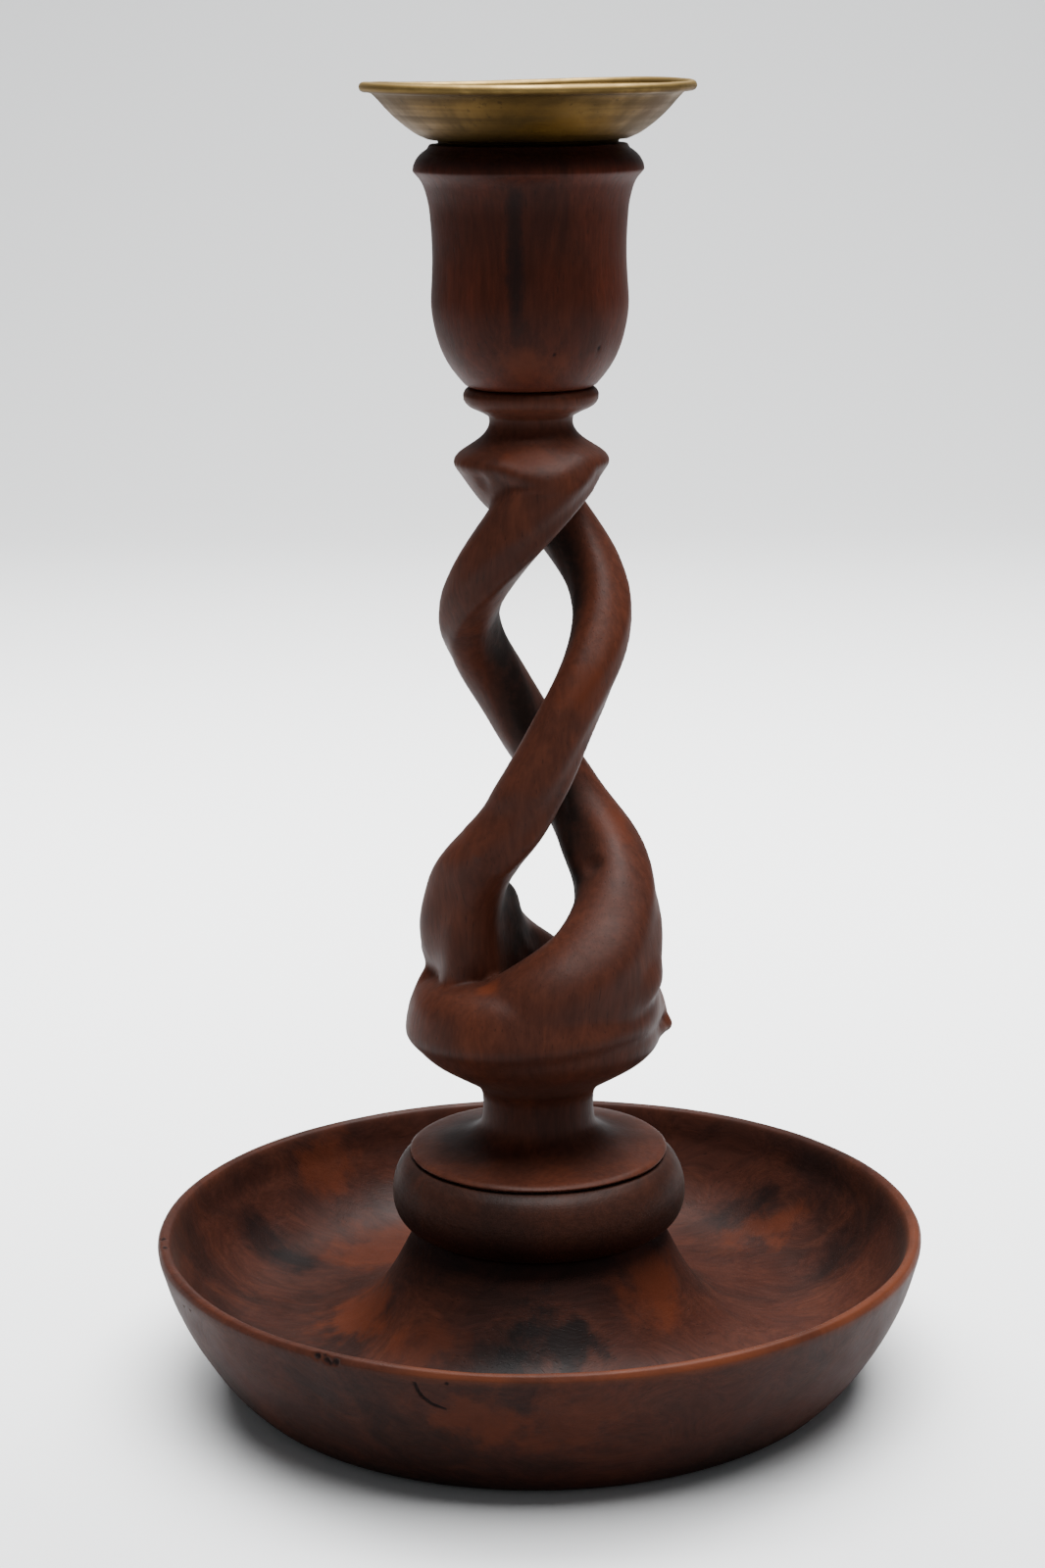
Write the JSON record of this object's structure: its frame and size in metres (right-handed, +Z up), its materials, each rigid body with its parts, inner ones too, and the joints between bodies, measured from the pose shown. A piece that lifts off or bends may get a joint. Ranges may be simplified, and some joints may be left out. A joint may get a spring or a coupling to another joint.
{
  "type": "spiral candle holder",
  "caption": "Turned wooden candle holder: a dished base carries a stem carved into two open twisted strands, a turned cup, and a lift-out brass drip pan with a candle tube.",
  "frame": {"origin": "middle of the foot, on the surface that the holder stands on", "axes": "+Z up along the stem, -Y towards the viewer, +X to the viewer's right; the strand that starts in front under the upper lip goes down to the viewer's left"},
  "size_m": [0.154, 0.154, 0.2565],
  "materials": {
    "burr_wood": "waxed satin, red-brown burr figure with dark knots",
    "turned_wood": "waxed satin, dark brown straight grain",
    "cup_wood": "waxed satin, dark red-brown",
    "brass": "aged, tarnished outside with a brighter rim"
  },
  "bodies": {
    "holder": {"dish": "burr_wood", "knop": "turned_wood", "twist_stem": "turned_wood", "candle_cup": "cup_wood"},
    "drip_cup": {"candle_tube": "brass", "drip_pan": "brass"}
  },
  "joints": [
    {"name": "drip_cup_lift", "type": "slide", "parent": "holder", "child": "drip_cup", "axis": [0, 0, 1], "range_m": [0, 0.045]}
  ]
}
